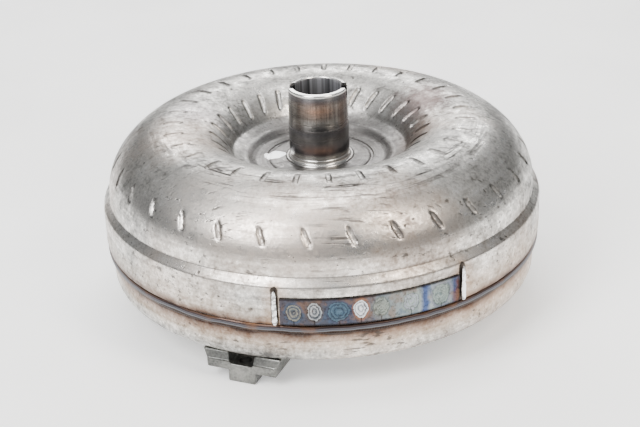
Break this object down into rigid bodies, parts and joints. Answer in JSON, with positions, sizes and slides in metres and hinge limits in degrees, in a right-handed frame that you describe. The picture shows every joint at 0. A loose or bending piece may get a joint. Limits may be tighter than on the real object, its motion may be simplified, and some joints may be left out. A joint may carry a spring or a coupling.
{
  "type": "torque converter",
  "caption": "Automatic-gearbox torque converter: welded impeller housing with pump hub and drive lugs round a bladed turbine, a stator on a one-way clutch and a lock-up clutch.",
  "frame": {"origin": "on the axis of rotation, in the plane of the three drive pads and the end of the crank pilot", "axes": "+Z along the axis towards the pump drive hub; +X and +Y across it, with the balance strip centred near -Y"},
  "size_m": [0.312, 0.3133, 0.156],
  "materials": {
    "shell_steel": "bare drawn steel, satin, slightly warm",
    "vane_steel": "bare pressed steel, oily",
    "ground_steel": "turned and ground, dark bronze-grey reflections",
    "weld_bead": "arc weld bead, blue-grey scale",
    "forged_steel": "as forged, matt grey",
    "tempered_strip": "mild steel strip with temper colours",
    "friction_paper": "resin-bonded paper friction lining",
    "seal_polymer": "filled PTFE seal ring",
    "spring_steel": "oil-tempered spring wire",
    "bronze": "sintered bronze",
    "bearing_steel": "hardened and ground",
    "cast_aluminium": "die-cast aluminium"
  },
  "bodies": {
    "housing": {"impeller_shell": "shell_steel", "impeller_vanes": "vane_steel", "impeller_hub": "ground_steel", "front_cover": "shell_steel", "crank_pilot": "ground_steel", "seam_weld": "weld_bead", "drive_lug_1": "forged_steel", "drive_lug_2": "forged_steel", "drive_lug_3": "forged_steel", "balance_strip": "tempered_strip", "strip_weld_1": "weld_bead", "strip_weld_2": "weld_bead", "front_thrust_washer": "bronze", "stator_bearing_upper_race": "bearing_steel"},
    "turbine": {"turbine_shell": "vane_steel", "turbine_vanes": "vane_steel", "turbine_hub": "ground_steel", "turbine_drive_ring": "vane_steel", "turbine_rivet_1": "forged_steel", "turbine_rivet_2": "forged_steel", "turbine_rivet_3": "forged_steel", "turbine_rivet_4": "forged_steel", "turbine_rivet_5": "forged_steel", "turbine_rivet_6": "forged_steel", "piston_seal_ring": "seal_polymer", "turbine_bearing_lower_race": "bearing_steel"},
    "damper": {"damper_retainer": "vane_steel", "damper_spring_1": "spring_steel", "damper_spring_2": "spring_steel", "damper_spring_3": "spring_steel", "damper_spring_4": "spring_steel", "damper_spring_5": "spring_steel", "damper_spring_6": "spring_steel"},
    "piston": {"lockup_piston": "vane_steel", "friction_lining": "friction_paper"},
    "stator_race": {"clutch_inner_race": "bearing_steel"},
    "stator": {"stator_wheel": "cast_aluminium", "clutch_cam": "bearing_steel", "clutch_roller_1": "bearing_steel", "clutch_roller_2": "bearing_steel", "clutch_roller_3": "bearing_steel", "clutch_roller_4": "bearing_steel", "clutch_roller_5": "bearing_steel", "clutch_roller_6": "bearing_steel", "clutch_roller_7": "bearing_steel", "clutch_roller_8": "bearing_steel", "clutch_spring_1": "spring_steel", "clutch_spring_2": "spring_steel", "clutch_spring_3": "spring_steel", "clutch_spring_4": "spring_steel", "clutch_spring_5": "spring_steel", "clutch_spring_6": "spring_steel", "clutch_spring_7": "spring_steel", "clutch_spring_8": "spring_steel", "stator_lower_plate": "bronze", "stator_upper_plate": "bronze", "turbine_bearing_upper_race": "bearing_steel", "stator_bearing_lower_race": "bearing_steel"},
    "turbine_cage": {"turbine_bearing_needle_cage": "bearing_steel"},
    "stator_cage": {"stator_bearing_needle_cage": "bearing_steel"}
  },
  "joints": [
    {"name": "turbine_spin", "type": "hinge", "parent": "housing", "child": "turbine", "pos_m": [0, 0, 0.08], "axis": [0, 0, 1], "continuous": true},
    {"name": "damper_twist", "type": "hinge", "parent": "turbine", "child": "damper", "pos_m": [0, 0, 0.08], "axis": [0, 0, 1], "range_deg": [-8, 8], "stiffness_Nm_per_rad": 900, "deforming": ["damper_spring_1", "damper_spring_2", "damper_spring_3", "damper_spring_4", "damper_spring_5", "damper_spring_6"]},
    {"name": "piston_slide", "type": "slide", "parent": "damper", "child": "piston", "axis": [0, 0, 1], "range_m": [0, 0.001]},
    {"name": "stator_race_spin", "type": "hinge", "parent": "housing", "child": "stator_race", "pos_m": [0, 0, 0.08], "axis": [0, 0, 1], "continuous": true},
    {"name": "stator_freewheel", "type": "hinge", "parent": "stator_race", "child": "stator", "pos_m": [0, 0, 0.08], "axis": [0, 0, 1], "continuous": true},
    {"name": "turbine_cage_spin", "type": "hinge", "parent": "turbine", "child": "turbine_cage", "pos_m": [0, 0, 0.08], "axis": [0, 0, 1], "continuous": true},
    {"name": "stator_cage_spin", "type": "hinge", "parent": "housing", "child": "stator_cage", "pos_m": [0, 0, 0.08], "axis": [0, 0, 1], "continuous": true}
  ]
}
